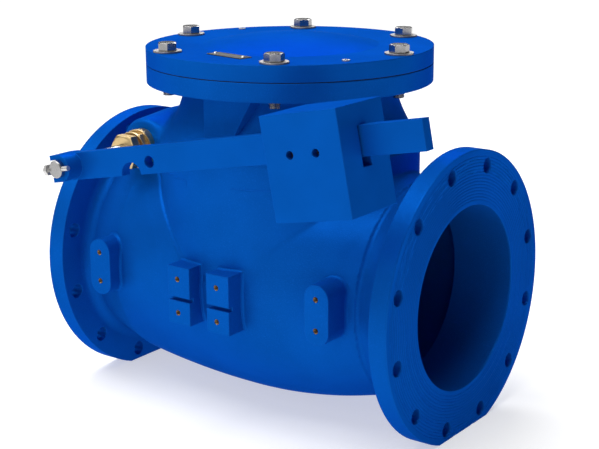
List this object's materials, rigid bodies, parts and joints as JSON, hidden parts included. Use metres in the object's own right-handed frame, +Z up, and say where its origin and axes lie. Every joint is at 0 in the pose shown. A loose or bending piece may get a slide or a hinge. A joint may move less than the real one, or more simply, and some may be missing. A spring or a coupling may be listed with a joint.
{
  "type": "swing check valve",
  "caption": "Flanged swing check valve with a bolted round cover, an outside lever with a sliding block weight, and a hinged disc inside.",
  "frame": {"origin": "centre of the inlet flange face, on the pipe axis", "axes": "+X along the pipe in the direction of flow, out of the outlet flange; +Z up through the cover; the lever is on the -Y side"},
  "size_m": [0.7987, 0.5912, 0.6297],
  "materials": {
    "blue_coating": "fusion bonded epoxy, fine sandy casting texture",
    "gasket": "compressed fibre",
    "stainless": "stainless, as machined",
    "name_plate": "brushed sheet",
    "bronze": "machined bronze",
    "brass": "machined brass",
    "packing": "braided graphite",
    "arm_iron": "bare ductile iron",
    "key_steel": "ground key stock",
    "seal_rubber": "moulded rubber",
    "screw_steel": "black oxide"
  },
  "bodies": {
    "housing": {"body": "blue_coating", "cover": "blue_coating", "cover_gasket": "gasket", "cover_bolts": "stainless", "cover_washers": "stainless", "jack_screws": "stainless", "nameplate": "name_plate", "nameplate_screws": "stainless", "seat_ring": "bronze", "seat_screws": "stainless", "gland_housing": "brass", "packing_rings": "packing", "packing_nut": "brass", "far_bushing": "bronze", "far_plug": "brass"},
    "hinge_assembly": {"hinge_shaft": "stainless", "disc_arm": "arm_iron", "arm_key": "key_steel", "arm_clamp_bolt": "stainless", "lever": "blue_coating", "lever_bolt": "stainless", "lever_key": "key_steel"},
    "disc_assembly": {"disc": "arm_iron", "disc_seal": "seal_rubber", "seal_retainer": "stainless", "retainer_screws": "stainless", "stud_washer": "stainless", "stud_nut": "stainless", "stud_cotter_pin": "stainless"},
    "weight_assembly": {"weight": "blue_coating", "weight_set_screws": "screw_steel"}
  },
  "joints": [
    {"name": "disc_swing", "type": "hinge", "parent": "housing", "child": "hinge_assembly", "pos_m": [0.1277, 0, 0.2016], "axis": [0, -1, 0], "range_deg": [0, 60]},
    {"name": "disc_turn", "type": "hinge", "parent": "hinge_assembly", "child": "disc_assembly", "pos_m": [0.13, 0, 0], "axis": [1, 0, 0], "continuous": true},
    {"name": "weight_slide", "type": "slide", "parent": "hinge_assembly", "child": "weight_assembly", "axis": [0.9819, 0, 0.1896], "range_m": [-0.11, 0.1]}
  ]
}
